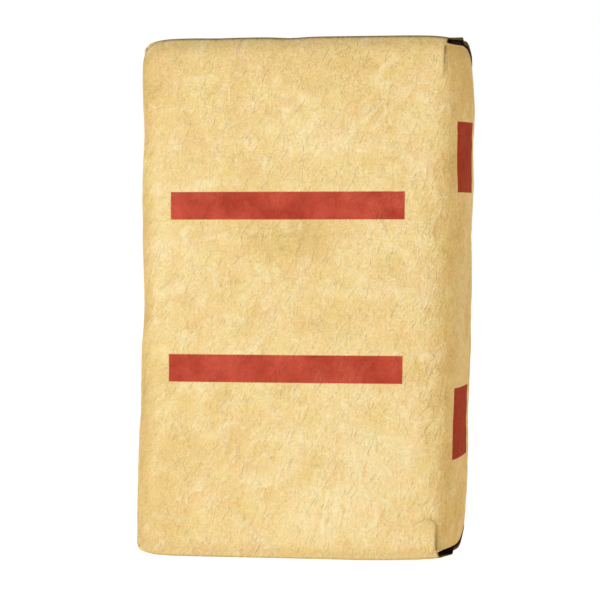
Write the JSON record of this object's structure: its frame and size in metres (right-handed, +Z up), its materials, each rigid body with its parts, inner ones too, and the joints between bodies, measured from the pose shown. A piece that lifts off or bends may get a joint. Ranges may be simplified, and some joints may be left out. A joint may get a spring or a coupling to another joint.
{
  "type": "cement bag",
  "caption": "Filled block-bottom valve sack of kraft paper, standing on its folded end, with plain red printed bars.",
  "frame": {"origin": "on the floor, under the middle of the standing bag's box", "axes": "+Z up, the bag's length; +X to the right across the wide front, towards the valve side; -Y out of the front"},
  "size_m": [0.4218, 0.16, 0.638],
  "materials": {
    "kraft_paper": "matt kraft paper, finely creased",
    "sleeve_paper": "matt kraft paper, dusty"
  },
  "bodies": {
    "root": {"sack": "kraft_paper", "valve_sleeve": "sleeve_paper"}
  },
  "joints": []
}
